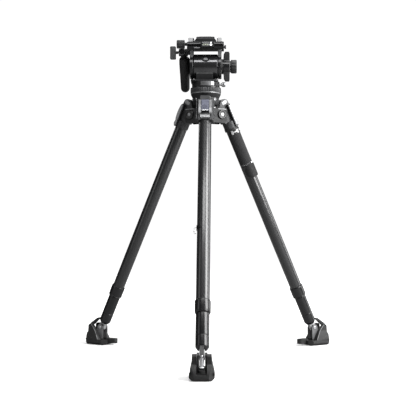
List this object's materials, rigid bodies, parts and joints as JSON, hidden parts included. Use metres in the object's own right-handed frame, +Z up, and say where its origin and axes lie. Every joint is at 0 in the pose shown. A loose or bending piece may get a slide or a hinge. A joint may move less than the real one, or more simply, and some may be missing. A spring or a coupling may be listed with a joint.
{
  "type": "camera tripod with fluid head",
  "caption": "Low camera tripod with telescoping legs, pivoting shoes and a pan and tilt fluid head with a short handle and a sliding camera plate.",
  "frame": {"origin": "middle of the box round the three shoes, on the ground", "axes": "+Z up, front leg towards -Y, tilt axis along X with the drag knobs at +X, camera lens direction along Y"},
  "size_m": [0.7306, 0.636, 0.873],
  "materials": {
    "cast_metal": "dark powder coat over cast aluminium",
    "anodised": "black satin anodised",
    "carbon": "carbon fibre tube, satin",
    "steel": "bright turned steel",
    "lever_grey": "blue-grey anodised",
    "rubber": "matt moulded rubber",
    "plastic": "moulded black plastic",
    "webbing": "woven strap",
    "vial": "clear level vial in a pale bezel"
  },
  "bodies": {
    "crown": {"crown": "cast_metal", "bowl_collar": "cast_metal"},
    "ring": {"levelling_ring": "anodised"},
    "leg_front": {"leg_head_front": "cast_metal", "hinge_pin_front": "anodised", "leg_tube_front": "carbon", "collar_front": "anodised", "side_hook": "steel"},
    "leg_right": {"leg_head_right": "cast_metal", "hinge_pin_right": "anodised", "leg_tube_right": "carbon", "collar_right": "anodised", "strap_loop": "webbing", "strap_buckle": "steel", "leg_strap": "webbing"},
    "leg_left": {"leg_head_left": "cast_metal", "hinge_pin_left": "anodised", "leg_tube_left": "carbon", "collar_left": "anodised"},
    "lever_front": {"release_lever_front": "lever_grey"},
    "lever_right": {"release_lever_right": "lever_grey"},
    "lever_left": {"release_lever_left": "lever_grey"},
    "lower_front": {"inner_tube_front": "carbon", "sleeve_front": "anodised", "ankle_front": "anodised", "ground_spike_front": "steel"},
    "lower_right": {"inner_tube_right": "carbon", "sleeve_right": "anodised", "ankle_right": "anodised", "ground_spike_right": "steel"},
    "lower_left": {"inner_tube_left": "carbon", "sleeve_left": "anodised", "ankle_left": "anodised", "ground_spike_left": "steel"},
    "foot_front": {"shoe_front": "rubber", "ankle_pin_front": "steel"},
    "foot_right": {"shoe_right": "rubber", "ankle_pin_right": "steel"},
    "foot_left": {"shoe_left": "rubber", "ankle_pin_left": "steel"},
    "latch_front": {"shoe_latch_front": "plastic"},
    "latch_right": {"shoe_latch_right": "plastic"},
    "latch_left": {"shoe_latch_left": "plastic"},
    "pan": {"pan_housing": "cast_metal", "drum": "anodised"},
    "pan_lock": {"pan_lock_knob": "steel"},
    "tilt": {"arm_left": "cast_metal", "arm_right": "cast_metal", "platform": "cast_metal", "bubble_level": "vial", "rosette_base": "cast_metal"},
    "dial": {"drag_dial": "plastic"},
    "knob": {"drag_knob": "plastic"},
    "plate": {"camera_plate": "anodised", "plate_pad": "rubber"},
    "plate_lock": {"plate_lock_knob": "plastic"},
    "small_knob": {"side_knob": "plastic"},
    "handle": {"handle_clamp": "cast_metal", "handle_grip": "rubber"},
    "handle_lock": {"t_knob": "plastic"}
  },
  "joints": [
    {"name": "ring_turn", "type": "hinge", "parent": "crown", "child": "ring", "pos_m": [0, 0.094, 0.7345], "axis": [0, 0, 1], "range_deg": [-30, 30]},
    {"name": "fold_front", "type": "hinge", "parent": "crown", "child": "leg_front", "pos_m": [0, 0.054, 0.664], "axis": [1, 0, 0], "range_deg": [0, 24.5]},
    {"name": "fold_right", "type": "hinge", "parent": "crown", "child": "leg_right", "pos_m": [0.03464, 0.114, 0.664], "axis": [-0.5, 0.866, 0], "range_deg": [0, 24.5]},
    {"name": "fold_left", "type": "hinge", "parent": "crown", "child": "leg_left", "pos_m": [-0.03464, 0.114, 0.664], "axis": [-0.5, -0.866, 0], "range_deg": [0, 24.5]},
    {"name": "extend_front", "type": "slide", "parent": "leg_front", "child": "lower_front", "axis": [0, -0.4352, -0.9003], "range_m": [0, 0.42]},
    {"name": "extend_right", "type": "slide", "parent": "leg_right", "child": "lower_right", "axis": [0.3769, 0.2176, -0.9003], "range_m": [0, 0.42]},
    {"name": "extend_left", "type": "slide", "parent": "leg_left", "child": "lower_left", "axis": [-0.3769, 0.2176, -0.9003], "range_m": [0, 0.42]},
    {"name": "ankle_front_tilt", "type": "hinge", "parent": "lower_front", "child": "foot_front", "pos_m": [0, -0.26771, 0.0509], "axis": [1, 0, 0], "range_deg": [-8, 18]},
    {"name": "ankle_right_tilt", "type": "hinge", "parent": "lower_right", "child": "foot_right", "pos_m": [0.31325, 0.27485, 0.0509], "axis": [-0.5, 0.866, 0], "range_deg": [-8, 18]},
    {"name": "ankle_left_tilt", "type": "hinge", "parent": "lower_left", "child": "foot_left", "pos_m": [-0.31325, 0.27485, 0.0509], "axis": [-0.5, -0.866, 0], "range_deg": [-8, 18]},
    {"name": "lever_front_open", "type": "hinge", "parent": "leg_front", "child": "lever_front", "pos_m": [0, 0.02311, 0.69337], "axis": [-1, 0, 0], "range_deg": [0, 60]},
    {"name": "lever_right_open", "type": "hinge", "parent": "leg_right", "child": "lever_right", "pos_m": [0.0614, 0.12945, 0.69337], "axis": [0.5, -0.866, 0], "range_deg": [0, 60]},
    {"name": "lever_left_open", "type": "hinge", "parent": "leg_left", "child": "lever_left", "pos_m": [-0.0614, 0.12945, 0.69337], "axis": [0.5, 0.866, 0], "range_deg": [0, 60]},
    {"name": "latch_front_open", "type": "hinge", "parent": "foot_front", "child": "latch_front", "pos_m": [0, -0.307, 0.033], "axis": [1, 0, 0], "range_deg": [0, 70]},
    {"name": "latch_right_open", "type": "hinge", "parent": "foot_right", "child": "latch_right", "pos_m": [0.34728, 0.2945, 0.033], "axis": [-0.5, 0.866, 0], "range_deg": [0, 70]},
    {"name": "latch_left_open", "type": "hinge", "parent": "foot_left", "child": "latch_left", "pos_m": [-0.34728, 0.2945, 0.033], "axis": [-0.5, -0.866, 0], "range_deg": [0, 70]},
    {"name": "pan_turn", "type": "hinge", "parent": "crown", "child": "pan", "pos_m": [0, 0.094, 0.75], "axis": [0, 0, 1], "continuous": true},
    {"name": "pan_lock_turn", "type": "hinge", "parent": "pan", "child": "pan_lock", "pos_m": [0.045, 0.082, 0.745], "axis": [1, 0, 0], "range_deg": [0, 180]},
    {"name": "tilt_swing", "type": "hinge", "parent": "pan", "child": "tilt", "pos_m": [0, 0.094, 0.797], "axis": [1, 0, 0], "range_deg": [-60, 75]},
    {"name": "dial_turn", "type": "hinge", "parent": "pan", "child": "dial", "pos_m": [0.057, 0.094, 0.797], "axis": [1, 0, 0], "range_deg": [-90, 90]},
    {"name": "knob_turn", "type": "hinge", "parent": "pan", "child": "knob", "pos_m": [0.078, 0.094, 0.797], "axis": [1, 0, 0], "range_deg": [-120, 120]},
    {"name": "plate_slide", "type": "slide", "parent": "tilt", "child": "plate", "axis": [0, 1, 0], "range_m": [-0.02, 0.02]},
    {"name": "plate_lock_turn", "type": "hinge", "parent": "tilt", "child": "plate_lock", "pos_m": [-0.068, 0.06, 0.853], "axis": [1, 0, 0], "range_deg": [0, 180]},
    {"name": "small_knob_turn", "type": "hinge", "parent": "tilt", "child": "small_knob", "pos_m": [0.0535, 0.05, 0.843], "axis": [1, 0, 0], "range_deg": [0, 180]},
    {"name": "handle_swing", "type": "hinge", "parent": "tilt", "child": "handle", "pos_m": [-0.0655, 0.094, 0.837], "axis": [1, 0, 0], "range_deg": [-30, 40]},
    {"name": "handle_lock_turn", "type": "hinge", "parent": "handle", "child": "handle_lock", "pos_m": [-0.0915, 0.094, 0.837], "axis": [1, 0, 0], "range_deg": [-90, 90]}
  ]
}
